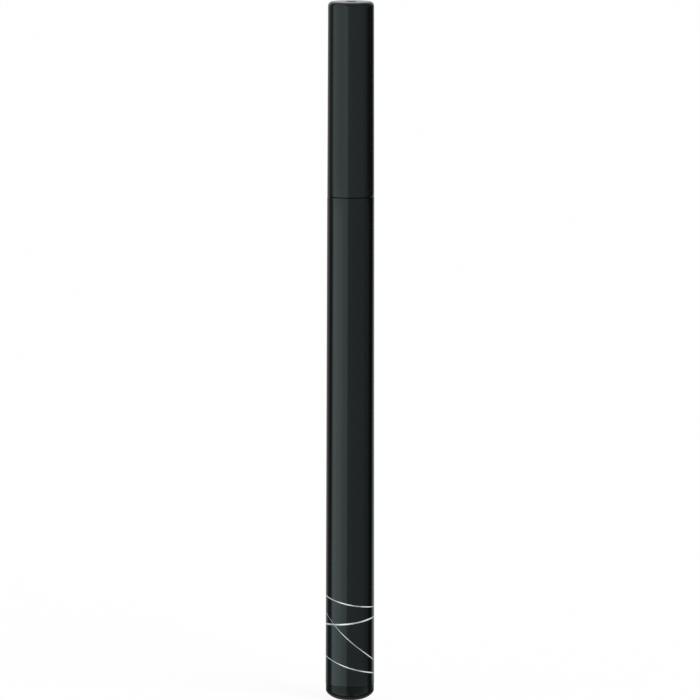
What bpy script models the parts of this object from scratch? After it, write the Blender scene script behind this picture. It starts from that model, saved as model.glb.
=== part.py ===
# Felt-tip eyeliner pen with a pull-off cap, standing upright on its rear plug.
# Metres, +Z up. The origin is the centre of the rear plug's flat foot, and every piece is turned round Z.
#
# From the outside in: a glossy cap with a soft sealing cup inside it, a glossy barrel closed by a rear plug,
# and a front section that carries the fibre nib. A film-wrapped fibre reservoir feeds the nib from behind.

import math

import bmesh
import bpy

# Facets round the outer shells, round what sits inside them, round the rods, and along a rounded edge
SHELL_STEPS = 48
LINER_STEPS = 36
ROD_STEPS = 24
EDGE_STEPS = 5

# Fits shared by pieces, all of them radial but the seat and the seams
PRESS_GAP = 0.00005  # between a spigot and the bore it is pressed into
BEAD_GAP = 0.00003  # between a sealing bead and its bore
SLIDE_GAP = 0.00008  # between the cap and the neck it is pushed onto
SEAT_GAP = 0.00003  # between two faces that rest on each other
CAP_SEAM = 0.00004  # fine line between the cap's mouth and the barrel
PLUG_SEAM = 0.00003  # fine line between the barrel and the rear plug

# Working values of the modelling, not of the product
WEB_SINK = 0.0004  # how far a rib or web runs into the wall that carries it
CUT_OVERRUN = 0.0005  # how far a cutter runs past the face it cuts
WELD_DISTANCE = 0.000001

# Barrel: a tube moulded from the rear, so it widens slightly towards the plug
BARREL_LENGTH = 0.095885
BARREL_FRONT_DIAMETER = 0.00919
BARREL_DRAFT = 0.000165  # how much larger the radius is at the rear
BARREL_WALL = 0.00101
BARREL_SOCKET_WALL = 0.001095  # thicker wall at the front, round the front section's spigot
BARREL_SOCKET_RUNOUT = 0.0008  # how far the socket runs on past the spigot
BARREL_EDGE = 0.00010
BARREL_REAR_EDGE = 0.00005  # crisp, so that it closes on the plug with hardly a line
BARREL_RIBS = 6
BARREL_RIB_WIDTH = 0.0006
BARREL_RIB_MARGIN = 0.0015  # bare bore left between the ribs and what fits in from either end

# Rear plug
PLUG_FOOT_DIAMETER = 0.0037  # the flat that the pen stands on
PLUG_DOME_HEIGHT = 0.0018
PLUG_DOME_POWER = 1.25  # over 1 gives a leaner dome than an ellipse
PLUG_RIM_HEIGHT = 0.00127
PLUG_SETBACK = 0.00005  # how far its side stands inside the barrel's
PLUG_RIM_EDGE = 0.00005
PLUG_FLOOR = 0.0012  # thickness under the hollow spigot
PLUG_SPIGOT_LENGTH = 0.0090
PLUG_SPIGOT_WALL = 0.0008
PLUG_SPIGOT_CHAMFER = 0.0004
PLUG_BEADS = 2
PLUG_BEAD_HEIGHT = 0.0008
PLUG_FIN_REACH = 0.01676  # past the spigot, up to the reservoir
PLUG_FIN_THICKNESS = 0.0008
PLUG_FIN_SETBACK = 0.00038  # behind the tips of the barrel's ribs

# Front section
SECTION_NECK_LENGTH = 0.0098
SECTION_NECK_LEDGE = 0.00027  # how far the neck stands out over the spigot's bore, to rest on the barrel
SECTION_BEAD_HEIGHT = 0.0008
SECTION_BEAD_AT = 0.0033  # above the barrel's front face
SECTION_SHOULDER_LENGTH = 0.0020
SECTION_LAND_LENGTH = 0.0040
SECTION_CONE_LENGTH = 0.0055
SECTION_CONE_SWELL_SHARE = 0.06  # how far the cone bulges, as a share of its length
SECTION_NOSE_RIM = 0.00045  # wall round the nib at the nose
SECTION_NOSE_EDGE = 0.0002
SECTION_WALL = 0.0005
SECTION_SPIGOT_LENGTH = 0.0112
SECTION_SPIGOT_CHAMFER = 0.0004
SECTION_CRUSH_RINGS = 2
SECTION_CRUSH_RING_HEIGHT = 0.0008
SECTION_ROOF = 0.0008  # from the cavity's end to the neck's
SECTION_TUBE_LENGTH = 0.0048
SECTION_TUBE_WALL = 0.00065
SECTION_WEBS = 3
SECTION_WEB_WIDTH = 0.0006
SECTION_VENTS = 3
SECTION_VENT_WIDTH = 0.0005
SECTION_VENT_DEPTH = 0.00025

# Fibre nib
NIB_DIAMETER = 0.0016
NIB_TIP_DIAMETER = 0.00024
NIB_EXPOSED = 0.0065
NIB_TAPER_LENGTH = 0.0058
NIB_TAPER_STEPS = 8
NIB_TAPER_POWER = 0.86  # under 1 gives a slightly full taper
NIB_IN_RESERVOIR = 0.0070
NIB_REAR_POINT = 0.0009
NIB_HEADROOM = 0.0055  # free height over the tip inside the inner cap

# Reservoir: a fibre rod in a film sleeve
RESERVOIR_CHAMFER = 0.0003
RESERVOIR_PLAY = 0.0003  # left at either end
RESERVOIR_CLEARANCE = 0.00017  # round the film, inside the front section
WRAP_WALL = 0.00012
WRAP_GAP = 0.00006
WRAP_SETBACK = 0.0005  # the fibre stands this far out of each end of the film
NIB_HOLE_GAP = 0.00006
RIB_GAP = 0.00010  # between the barrel's ribs and the film

# Inner cap: the soft cup that keeps the nib from drying
INNER_CAP_WALL = 0.0005
INNER_CAP_TOP_WALL = 0.0007
INNER_CAP_STANDOFF = 0.0005  # its mouth above the start of the sealing land
INNER_CAP_BEAD_HEIGHT = 0.0008
INNER_CAP_BAND_HEIGHT = 0.0009
INNER_CAP_LEAD_IN = 0.00025
INNER_CAP_CORNER = 0.0005
INNER_CAP_STEM_LENGTH = 0.002755
INNER_CAP_STEM_DIAMETER = 0.0030
INNER_CAP_STEM_WALL = 0.0006
INNER_CAP_STEM_EDGE = 0.0002

# Cap: as long as the nose, the nib and the inner cap need
CAP_SETBACK = 0.00002  # how far its mouth stands inside the barrel's front edge
CAP_DRAFT = 0.000095  # how much smaller the radius is at the top
CAP_CORNER = 0.00082
CAP_TOP_WALL = 0.0012
CAP_MOUTH_EDGE = 0.00010
CAP_LEAD_IN = 0.0002
CAP_CEILING_FILLET = 0.0003
CAP_GROOVE_DEPTH = 0.0001
CAP_GROOVE_HEIGHT = 0.0012
CAP_RECESS_DIAMETER = 0.0022
CAP_RECESS_FLOOR = 0.0005  # thickness left under the recess
CAP_RECESS_EDGE = 0.00004
CAP_GATE_DIAMETER = 0.0007
CAP_GATE_HEIGHT = 0.0002
CAP_RIBS = 8
CAP_RIB_WIDTH = 0.0005
CAP_RIB_HEIGHT = 0.0003
CAP_RIB_START = 0.0020  # above the inner cap's mouth

# Colours are linear
GLOSS_BLACK = (0.0035, 0.0045, 0.0048, 1.0)
SATIN_BLACK = (0.0060, 0.0065, 0.0068, 1.0)
MILKY_WHITE = (0.70, 0.72, 0.70, 1.0)
INK_BLACK = (0.0020, 0.0020, 0.0024, 1.0)
INKY_GREY = (0.020, 0.020, 0.023, 1.0)
FILM_CLEAR = (0.55, 0.57, 0.58, 1.0)

# Radii, from the barrel's outside in to the nib, and from the neck out to the cap
front_radius = BARREL_FRONT_DIAMETER / 2
rear_radius = front_radius + BARREL_DRAFT
barrel_bore_radius = rear_radius - BARREL_WALL
socket_radius = front_radius - BARREL_SOCKET_WALL
spigot_radius = socket_radius - PRESS_GAP
cavity_radius = spigot_radius - SECTION_WALL
wrap_radius = cavity_radius - RESERVOIR_CLEARANCE
core_radius = wrap_radius - WRAP_WALL - WRAP_GAP
rib_tip_radius = wrap_radius + RIB_GAP
nib_radius = NIB_DIAMETER / 2
nib_bore_radius = nib_radius + PRESS_GAP
plug_spigot_radius = barrel_bore_radius - PRESS_GAP
neck_radius = socket_radius + SECTION_NECK_LEDGE
cap_bore_radius = neck_radius + SLIDE_GAP
cap_rib_tip_radius = cap_bore_radius - CAP_RIB_HEIGHT
inner_cap_radius = cap_rib_tip_radius - PRESS_GAP
inner_cap_bore_radius = inner_cap_radius - INNER_CAP_WALL
land_radius = inner_cap_bore_radius - 2 * SLIDE_GAP

# Heights above the origin, from the foot up
plug_head_top = PLUG_DOME_HEIGHT + PLUG_RIM_HEIGHT
plug_spigot_top = plug_head_top + PLUG_SPIGOT_LENGTH
plug_fin_top = plug_spigot_top + PLUG_FIN_REACH
barrel_base = plug_head_top + PLUG_SEAM
barrel_front = barrel_base + BARREL_LENGTH
section_base = barrel_front + SEAT_GAP
cavity_end = section_base + SECTION_NECK_LENGTH - SECTION_ROOF
tube_base = cavity_end - SECTION_TUBE_LENGTH
reservoir_base = plug_fin_top + RESERVOIR_PLAY
reservoir_front = tube_base - RESERVOIR_PLAY
nib_base = reservoir_front - NIB_IN_RESERVOIR
land_start = section_base + SECTION_NECK_LENGTH + SECTION_SHOULDER_LENGTH
nose_base = land_start + SECTION_LAND_LENGTH
nose_end = nose_base + SECTION_CONE_LENGTH
nib_tip = nose_end + NIB_EXPOSED
cap_mouth = barrel_front + CAP_SEAM
inner_cap_mouth = land_start + INNER_CAP_STANDOFF
inner_cap_ceiling = nib_tip + NIB_HEADROOM
inner_cap_top = inner_cap_ceiling + INNER_CAP_TOP_WALL
cap_ceiling = inner_cap_top + INNER_CAP_STEM_LENGTH + SEAT_GAP
cap_top = cap_ceiling + CAP_TOP_WALL


def clear_scene():
    for item in list(bpy.data.objects):
        bpy.data.objects.remove(item)


def arc(centre, width, height, start, end, steps=EDGE_STEPS):
    """Points of an elliptical arc in the (radius, height) plane, both ends included, angles in degrees."""
    points = []
    for step in range(steps + 1):
        angle = math.radians(start + (end - start) * step / steps)
        points.append((centre[0] + width * math.cos(angle), centre[1] + height * math.sin(angle)))
    return points


def dome(foot, side, height, power, steps):
    """Outline of the plug's rounded end, from the top of its side down and in to its flat foot."""
    points = []
    for step in range(steps + 1):
        angle = math.pi / 2 * step / steps
        reach = max(0, math.cos(angle)) ** power
        points.append((foot + (side - foot) * reach, height * (1 - math.sin(angle) ** power)))
    return points


def bead(radius, rise, height, at):
    """Outline of a low bead on a wall, or with a negative rise a groove, from its lower edge up."""
    return [
        (radius, at - height / 2),
        (radius + rise, at - height / 4),
        (radius + rise, at + height / 4),
        (radius, at + height / 2),
    ]


def turned(outline, base, steps):
    """Spins an outline of (radius, height) points round Z, with its heights counted from a base.

    The outline closes on the axis where both its ends lie there, and otherwise on itself.
    """
    work = bmesh.new()
    points = [work.verts.new((radius, 0, height - base)) for radius, height in outline]
    edges = [work.edges.new(pair) for pair in zip(points, points[1:])]
    if outline[0][0] > 0 or outline[-1][0] > 0:
        edges.append(work.edges.new((points[-1], points[0])))
    bmesh.ops.spin(
        work, geom=points + edges, cent=(0, 0, 0), axis=(0, 0, 1), angle=math.tau, steps=steps, use_merge=True
    )
    bmesh.ops.remove_doubles(work, verts=work.verts, dist=WELD_DISTANCE)
    return work


def blade(work, inner, outer, width, low, high, angle):
    """Adds an upright bar to a bmesh, from an inner to an outer radius, at an angle round Z."""
    middle = (inner + outer) / 2
    for vertex in bmesh.ops.create_cube(work, size=1)["verts"]:
        radius = middle + vertex.co.x * (outer - inner)
        across = vertex.co.y * width
        vertex.co = (
            radius * math.cos(angle) - across * math.sin(angle),
            radius * math.sin(angle) + across * math.cos(angle),
            (low + high) / 2 + vertex.co.z * (high - low),
        )


def blades(count, inner, outer, width, low, high, base):
    """A bmesh of bars spaced evenly round Z, with their heights counted from a base."""
    work = bmesh.new()
    for index in range(count):
        blade(work, inner, outer, width, low - base, high - base, math.tau * index / count)
    return work


def solid(name, work, material, parent, height):
    """Turns a bmesh into a smooth-shaded object at a height above its parent."""
    bmesh.ops.recalc_face_normals(work, faces=work.faces)
    mesh = bpy.data.meshes.new(name)
    work.to_mesh(mesh)
    work.free()
    mesh.shade_smooth()
    mesh.set_sharp_from_angle(angle=math.radians(35))
    if material:
        mesh.materials.append(material)
    piece = bpy.data.objects.new(name, mesh)
    bpy.context.scene.collection.objects.link(piece)
    piece.parent = parent
    piece.location.z = height
    return piece


def combine(piece, name, work, operation):
    """Joins a helper to a piece, or cuts it away, and keeps the helper out of renders."""
    helper = solid(name, work, None, piece, 0)
    helper.hide_render = True
    helper.display_type = "WIRE"
    modifier = piece.modifiers.new(name, "BOOLEAN")
    modifier.operation = operation
    modifier.object = helper


def finish(name, colour, roughness):
    material = bpy.data.materials.new(name)
    material.use_nodes = True
    material.diffuse_color = colour
    shader = material.node_tree.nodes["Principled BSDF"]
    shader.inputs["Base Color"].default_value = colour
    shader.inputs["Roughness"].default_value = roughness
    shader.inputs["Metallic"].default_value = 0
    return material


def make_rear_plug(pen):
    """The end plug: a domed head to stand on, a hollow beaded spigot, and crossed fins behind the reservoir."""
    side = rear_radius - PLUG_SETBACK
    hollow = plug_spigot_radius - PLUG_SPIGOT_WALL
    spacing = PLUG_SPIGOT_LENGTH / (PLUG_BEADS + 1)
    outline = [(0, PLUG_FLOOR), (hollow, PLUG_FLOOR), (hollow, plug_spigot_top)]
    outline += [(plug_spigot_radius - PLUG_SPIGOT_CHAMFER, plug_spigot_top)]
    outline += [(plug_spigot_radius, plug_spigot_top - PLUG_SPIGOT_CHAMFER)]
    for index in range(PLUG_BEADS):
        at = plug_spigot_top - spacing * (index + 1)
        outline += reversed(bead(plug_spigot_radius, PRESS_GAP - BEAD_GAP, PLUG_BEAD_HEIGHT, at))
    outline += [(plug_spigot_radius, plug_head_top)]
    outline += arc((side - PLUG_RIM_EDGE, plug_head_top - PLUG_RIM_EDGE), PLUG_RIM_EDGE, PLUG_RIM_EDGE, 90, 0, 2)
    outline += dome(PLUG_FOOT_DIAMETER / 2, side, PLUG_DOME_HEIGHT, PLUG_DOME_POWER, EDGE_STEPS + 3)
    outline += [(0, 0)]
    material = finish("gloss_black_plug", GLOSS_BLACK, 0.16)
    plug = solid("rear_plug", turned(outline, 0, SHELL_STEPS), material, pen, 0)
    reach = rib_tip_radius - PLUG_FIN_SETBACK
    for name, angle in (("plug_fin", 0), ("plug_cross_fin", math.pi / 2)):
        fin = bmesh.new()
        blade(fin, -reach, reach, PLUG_FIN_THICKNESS, PLUG_FLOOR / 2, plug_fin_top, angle)
        combine(plug, name, fin, "UNION")
    return plug


def make_barrel(pen):
    """The glossy tube, with a front socket and ribs that hold the reservoir off its wall."""
    step_at = section_base - SECTION_SPIGOT_LENGTH - BARREL_SOCKET_RUNOUT
    step = barrel_bore_radius - socket_radius
    outline = arc((front_radius - BARREL_EDGE, barrel_front - BARREL_EDGE), BARREL_EDGE, BARREL_EDGE, 90, 0, 2)
    rear_edge_at = (rear_radius - BARREL_REAR_EDGE, barrel_base + BARREL_REAR_EDGE)
    outline += arc(rear_edge_at, BARREL_REAR_EDGE, BARREL_REAR_EDGE, 0, -90, 2)
    outline += [(barrel_bore_radius + BARREL_EDGE, barrel_base), (barrel_bore_radius, barrel_base + BARREL_EDGE)]
    outline += [(barrel_bore_radius, step_at - step), (socket_radius, step_at)]
    outline += [(socket_radius, barrel_front - BARREL_EDGE), (socket_radius + BARREL_EDGE, barrel_front)]
    material = finish("gloss_black_barrel", GLOSS_BLACK, 0.12)
    barrel = solid("barrel", turned(outline, barrel_base, SHELL_STEPS), material, pen, barrel_base)
    low = plug_spigot_top + BARREL_RIB_MARGIN
    high = step_at - BARREL_RIB_MARGIN
    wall = barrel_bore_radius + WEB_SINK
    ribs = blades(BARREL_RIBS, rib_tip_radius, wall, BARREL_RIB_WIDTH, low, high, barrel_base)
    combine(barrel, "barrel_ribs", ribs, "UNION")
    return barrel


def cone_outline():
    """The front section's nose, from the rounded rim round the nib down to the sealing land."""
    nose_radius = nib_bore_radius + SECTION_NOSE_RIM
    rim_at = nose_end - SECTION_NOSE_EDGE
    points = arc((nose_radius - SECTION_NOSE_EDGE, rim_at), SECTION_NOSE_EDGE, SECTION_NOSE_EDGE, 90, 0, 3)
    for step in range(1, EDGE_STEPS + 1):
        share = step / EDGE_STEPS
        swell = SECTION_CONE_SWELL_SHARE * SECTION_CONE_LENGTH * math.sin(math.pi * share)
        radius = nose_radius + (land_radius - nose_radius) * share + swell
        points.append((radius, rim_at + (nose_base - rim_at) * share))
    return points


def make_front_section(pen):
    """The moulding pressed into the barrel: spigot, neck for the cap, sealing land, cone and nib holder."""
    tube_radius = nib_bore_radius + SECTION_TUBE_WALL
    spigot_end = section_base - SECTION_SPIGOT_LENGTH
    mouth_chamfer = SECTION_SPIGOT_CHAMFER / 2
    spacing = SECTION_SPIGOT_LENGTH / (SECTION_CRUSH_RINGS + 1)
    neck_bead = bead(neck_radius, SLIDE_GAP - BEAD_GAP, SECTION_BEAD_HEIGHT, section_base + SECTION_BEAD_AT)
    outline = cone_outline()
    outline += [(land_radius, land_start), (neck_radius, section_base + SECTION_NECK_LENGTH)]
    outline += reversed(neck_bead)
    outline += [(neck_radius, section_base), (spigot_radius, section_base)]
    for index in range(SECTION_CRUSH_RINGS):
        at = section_base - spacing * (index + 1)
        outline += reversed(bead(spigot_radius, PRESS_GAP - BEAD_GAP, SECTION_CRUSH_RING_HEIGHT, at))
    outline += [(spigot_radius, spigot_end + SECTION_SPIGOT_CHAMFER)]
    outline += [(cavity_radius + mouth_chamfer, spigot_end), (cavity_radius, spigot_end + mouth_chamfer)]
    outline += [(cavity_radius, cavity_end), (tube_radius, cavity_end), (tube_radius, tube_base)]
    outline += [(nib_bore_radius, tube_base), (nib_bore_radius, nose_end)]
    material = finish("satin_black_section", SATIN_BLACK, 0.34)
    section = solid("front_section", turned(outline, section_base, LINER_STEPS), material, pen, section_base)
    inner = nib_bore_radius + SECTION_TUBE_WALL / 2
    outer = cavity_radius + SECTION_WALL / 2
    high = cavity_end + SECTION_ROOF / 2
    webs = blades(SECTION_WEBS, inner, outer, SECTION_WEB_WIDTH, tube_base, high, section_base)
    combine(section, "section_webs", webs, "UNION")
    outer = nib_bore_radius + SECTION_VENT_DEPTH
    low = tube_base - CUT_OVERRUN
    high = nose_end + CUT_OVERRUN
    vents = blades(SECTION_VENTS, nib_radius / 2, outer, SECTION_VENT_WIDTH, low, high, section_base)
    combine(section, "section_vents", vents, "DIFFERENCE")
    return section


def make_nib(pen):
    """The fibre rod: pointed at the rear to enter the reservoir, and ground to a long fine taper in front."""
    tip_radius = NIB_TIP_DIAMETER / 2
    taper = NIB_TAPER_LENGTH - tip_radius
    outline = [(0, nib_tip)]
    for step in range(NIB_TAPER_STEPS + 1):
        share = step / NIB_TAPER_STEPS
        radius = tip_radius + (nib_radius - tip_radius) * share**NIB_TAPER_POWER
        outline.append((radius, nib_tip - tip_radius - taper * share))
    outline += [(nib_radius, nib_base + NIB_REAR_POINT), (nib_radius / 3, nib_base), (0, nib_base)]
    material = finish("ink_black_fibre", INK_BLACK, 0.85)
    return solid("nib", turned(outline, nib_base, ROD_STEPS), material, pen, nib_base)


def make_reservoir_core(pen):
    """The bundle of fibres that holds the ink, with the hole that the nib's rear end makes."""
    hole = nib_radius + NIB_HOLE_GAP
    hole_end = nib_base - NIB_HOLE_GAP
    shoulder = core_radius - RESERVOIR_CHAMFER
    outline = [(0, hole_end), (hole / 2, hole_end), (hole, hole_end + NIB_REAR_POINT), (hole, reservoir_front)]
    outline += [(shoulder, reservoir_front), (core_radius, reservoir_front - RESERVOIR_CHAMFER)]
    outline += [(core_radius, reservoir_base + RESERVOIR_CHAMFER), (shoulder, reservoir_base), (0, reservoir_base)]
    material = finish("inked_fibre", INKY_GREY, 0.9)
    return solid("reservoir_core", turned(outline, reservoir_base, ROD_STEPS), material, pen, reservoir_base)


def make_reservoir_wrap(pen):
    """The film sleeve round the fibres."""
    inner = core_radius + WRAP_GAP
    low = reservoir_base + WRAP_SETBACK
    high = reservoir_front - WRAP_SETBACK
    outline = [(wrap_radius, high), (wrap_radius, low), (inner, low), (inner, high)]
    material = finish("clear_film", FILM_CLEAR, 0.2)
    return solid("reservoir_wrap", turned(outline, low, ROD_STEPS), material, pen, low)


def make_inner_cap(carrier):
    """The soft cup that seals on the front section's land, with a hollow stem that bears on the outer cap."""
    bore = inner_cap_bore_radius
    mouth = inner_cap_mouth
    stem_end = inner_cap_top + INNER_CAP_STEM_LENGTH
    stem_radius = INNER_CAP_STEM_DIAMETER / 2
    stem_bore = stem_radius - INNER_CAP_STEM_WALL
    stem_edge = INNER_CAP_STEM_EDGE
    corner = INNER_CAP_CORNER
    band_at = (mouth + inner_cap_top) / 2
    bead_at = mouth + INNER_CAP_LEAD_IN + INNER_CAP_BEAD_HEIGHT / 2
    outline = [(0, inner_cap_top), (stem_bore, inner_cap_top), (stem_bore, stem_end)]
    outline += arc((stem_radius - stem_edge, stem_end - stem_edge), stem_edge, stem_edge, 90, 0, 2)
    outline += [(stem_radius, inner_cap_top)]
    outline += arc((inner_cap_radius - corner, inner_cap_top - corner), corner, corner, 90, 0, 3)
    outline += reversed(bead(inner_cap_radius, PRESS_GAP - BEAD_GAP, INNER_CAP_BAND_HEIGHT, band_at))
    outline += [(inner_cap_radius, mouth + INNER_CAP_LEAD_IN), (inner_cap_radius - INNER_CAP_LEAD_IN / 2, mouth)]
    outline += [(bore + INNER_CAP_LEAD_IN / 2, mouth)]
    outline += bead(bore, -SLIDE_GAP, INNER_CAP_BEAD_HEIGHT, bead_at)
    outline += [(bore, inner_cap_ceiling - INNER_CAP_LEAD_IN), (bore - INNER_CAP_LEAD_IN, inner_cap_ceiling)]
    outline += [(0, inner_cap_ceiling)]
    material = finish("milky_polyethylene", MILKY_WHITE, 0.42)
    return solid("inner_cap", turned(outline, mouth, LINER_STEPS), material, carrier, mouth - cap_mouth)


def make_cap_shell(carrier):
    """The glossy outer cap: a drafted cup with a gate recess in its top and ribs that grip the inner cap."""
    mouth_radius = front_radius - CAP_SETBACK
    top_radius = mouth_radius - CAP_DRAFT
    recess_radius = CAP_RECESS_DIAMETER / 2
    gate_radius = CAP_GATE_DIAMETER / 2
    recess_floor = cap_ceiling + CAP_RECESS_FLOOR
    gate_top = recess_floor + CAP_GATE_HEIGHT
    edge = CAP_MOUTH_EDGE
    fillet = CAP_CEILING_FILLET
    groove_at = section_base + SECTION_BEAD_AT
    outline = [(0, gate_top), (gate_radius, gate_top), (gate_radius + CAP_RECESS_EDGE, recess_floor)]
    outline += [(recess_radius, recess_floor), (recess_radius, cap_top - CAP_RECESS_EDGE)]
    outline += [(recess_radius + CAP_RECESS_EDGE, cap_top)]
    outline += arc((top_radius - CAP_CORNER, cap_top - CAP_CORNER), CAP_CORNER, CAP_CORNER, 90, 0)
    outline += arc((mouth_radius - edge, cap_mouth + edge), edge, edge, 0, -90, 2)
    outline += [(cap_bore_radius + CAP_LEAD_IN, cap_mouth), (cap_bore_radius, cap_mouth + CAP_LEAD_IN)]
    outline += bead(cap_bore_radius, CAP_GROOVE_DEPTH, CAP_GROOVE_HEIGHT, groove_at)
    outline += arc((cap_bore_radius - fillet, cap_ceiling - fillet), fillet, fillet, 0, 90, 3)
    outline += [(0, cap_ceiling)]
    material = finish("gloss_black_cap", GLOSS_BLACK, 0.14)
    cap = solid("cap_shell", turned(outline, cap_mouth, SHELL_STEPS), material, carrier, 0)
    outer = cap_bore_radius + WEB_SINK / 2
    low = inner_cap_mouth + CAP_RIB_START
    high = cap_ceiling + CAP_RECESS_FLOOR / 2
    ribs = blades(CAP_RIBS, cap_rib_tip_radius, outer, CAP_RIB_WIDTH, low, high, cap_mouth)
    combine(cap, "cap_ribs", ribs, "UNION")
    return cap


def make_empty(name, parent, height):
    empty = bpy.data.objects.new(name, None)
    bpy.context.scene.collection.objects.link(empty)
    empty.parent = parent
    empty.location.z = height
    return empty


def main():
    clear_scene()
    pen = make_empty("pen_body", None, 0)
    carrier = make_empty("cap_carrier", pen, cap_mouth)
    make_rear_plug(pen)
    make_barrel(pen)
    make_reservoir_core(pen)
    make_reservoir_wrap(pen)
    make_front_section(pen)
    make_nib(pen)
    make_inner_cap(carrier)
    make_cap_shell(carrier)


main()
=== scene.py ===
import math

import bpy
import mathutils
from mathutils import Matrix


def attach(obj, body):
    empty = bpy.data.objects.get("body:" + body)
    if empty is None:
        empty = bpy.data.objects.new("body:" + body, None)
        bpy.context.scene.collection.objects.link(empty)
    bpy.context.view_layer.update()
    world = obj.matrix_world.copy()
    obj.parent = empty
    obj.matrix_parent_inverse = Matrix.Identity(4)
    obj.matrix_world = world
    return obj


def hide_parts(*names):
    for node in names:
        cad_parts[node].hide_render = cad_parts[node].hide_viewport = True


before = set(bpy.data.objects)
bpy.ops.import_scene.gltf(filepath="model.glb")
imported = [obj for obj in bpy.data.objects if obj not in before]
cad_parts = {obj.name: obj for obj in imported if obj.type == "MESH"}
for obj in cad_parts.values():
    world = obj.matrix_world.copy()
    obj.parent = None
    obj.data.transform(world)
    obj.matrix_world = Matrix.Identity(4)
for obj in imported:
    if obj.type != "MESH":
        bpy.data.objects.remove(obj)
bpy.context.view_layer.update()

# A slim felt-tip eyeliner pen, dressed round its CAD frame. Metres, +Z up, and -Y faces the camera.
# The turned mouldings and the foil lines are Geometry Nodes trees, turned into plain meshes.
# The dictionaries of the pieces are in millimetres, and so are the outlines made from them.

mm = 0.001
weldDistance = 0.001 * mm
sharpAngle = math.radians(32)  # edges that turn more than this stay crisp
arcStep = math.radians(13)  # one facet of a rounded corner
guardShare = 0.5  # a guard point lies this share of the rounding past the arc's end
guardRoom = 0.6  # and is left out if it would use up more than this share of the side
beadPower = 1.5  # lets a bead run out softly into its wall
shellSegments = 144  # round the outer mouldings
innerSegments = 96  # round what sits inside them


def addNode(tree, kind, inputs=None, **settings):  # a node among the inputs stands for its first output
    node = tree.nodes.new(kind)
    for name, value in settings.items():
        setattr(node, name, value)
    for key, value in (inputs or {}).items():
        source = value.outputs[0] if isinstance(value, bpy.types.Node) else value
        if isinstance(source, bpy.types.NodeSocket):
            tree.links.new(source, node.inputs[key])
        else:
            node.inputs[key].default_value = source
    return node


def linear(hexColour):  # an sRGB hex value as linear red, green, blue and alpha
    channels = [int(hexColour[i : i + 2], 16) / 255 for i in (1, 3, 5)]
    return (*[c / 12.92 if c <= 0.04045 else ((c + 0.055) / 1.055) ** 2.4 for c in channels], 1.0)


def newTree(name, sockets):
    tree = bpy.data.node_groups.new(name, "GeometryNodeTree")
    tree.interface.new_socket("Geometry", in_out="OUTPUT", socket_type="NodeSocketGeometry")
    for label, kind in sockets:
        tree.interface.new_socket(label, in_out="INPUT", socket_type="NodeSocket" + kind)
    return tree, tree.nodes.new("NodeGroupInput").outputs, tree.nodes.new("NodeGroupOutput")


def endTree(tree, geometry, material, end):
    angle = addNode(tree, "GeometryNodeInputMeshEdgeAngle")
    soft = addNode(tree, "FunctionNodeCompare", {0: angle, 1: sharpAngle}, operation="LESS_THAN")
    plain = addNode(tree, "GeometryNodeRealizeInstances", {0: geometry})
    smooth = addNode(tree, "GeometryNodeSetShadeSmooth", {"Geometry": plain}, domain="FACE")
    inputs = {"Geometry": smooth, "Shade Smooth": soft}
    crisp = addNode(tree, "GeometryNodeSetShadeSmooth", inputs, domain="EDGE")
    finished = addNode(tree, "GeometryNodeSetMaterial", {"Geometry": crisp, "Material": material})
    tree.links.new(finished.outputs[0], end.inputs[0])


def turningTree():  # spins a row of outline points round Z, and closes the seam and the poles
    names = [("Geometry", "Geometry"), ("Segments", "Int"), ("Material", "Material")]
    tree, start, end = newTree("turn outline", names)
    size = addNode(tree, "GeometryNodeAttributeDomainSize", {0: start["Geometry"]}, component="MESH")
    rows = size.outputs["Point Count"]
    columns = addNode(tree, "ShaderNodeMath", {0: start["Segments"], 1: 1.0}, operation="ADD")
    grid = addNode(tree, "GeometryNodeMeshGrid", {"Vertices X": columns, "Vertices Y": rows})
    index = addNode(tree, "GeometryNodeInputIndex")
    column = addNode(tree, "ShaderNodeMath", {0: index, 1: rows}, operation="DIVIDE")
    whole = addNode(tree, "ShaderNodeMath", {0: column}, operation="FLOOR")
    row = addNode(tree, "ShaderNodeMath", {0: index, 1: rows}, operation="MODULO")
    turn = addNode(tree, "ShaderNodeMath", {0: whole, 1: start["Segments"]}, operation="DIVIDE")
    angle = addNode(tree, "ShaderNodeMath", {0: turn, 1: math.tau}, operation="MULTIPLY")
    place = addNode(tree, "GeometryNodeInputPosition")
    inputs = {"Geometry": start["Geometry"], "Value": place, "Index": row}
    sample = addNode(tree, "GeometryNodeSampleIndex", inputs, data_type="FLOAT_VECTOR", domain="POINT")
    inputs = {"Vector": sample, "Angle": angle}
    turned = addNode(tree, "ShaderNodeVectorRotate", inputs, rotation_type="Z_AXIS")
    moved = addNode(tree, "GeometryNodeSetPosition", {"Geometry": grid, "Position": turned})
    welded = addNode(tree, "GeometryNodeMergeByDistance", {"Geometry": moved, "Distance": weldDistance})
    endTree(tree, welded, start["Material"], end)
    return tree


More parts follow.
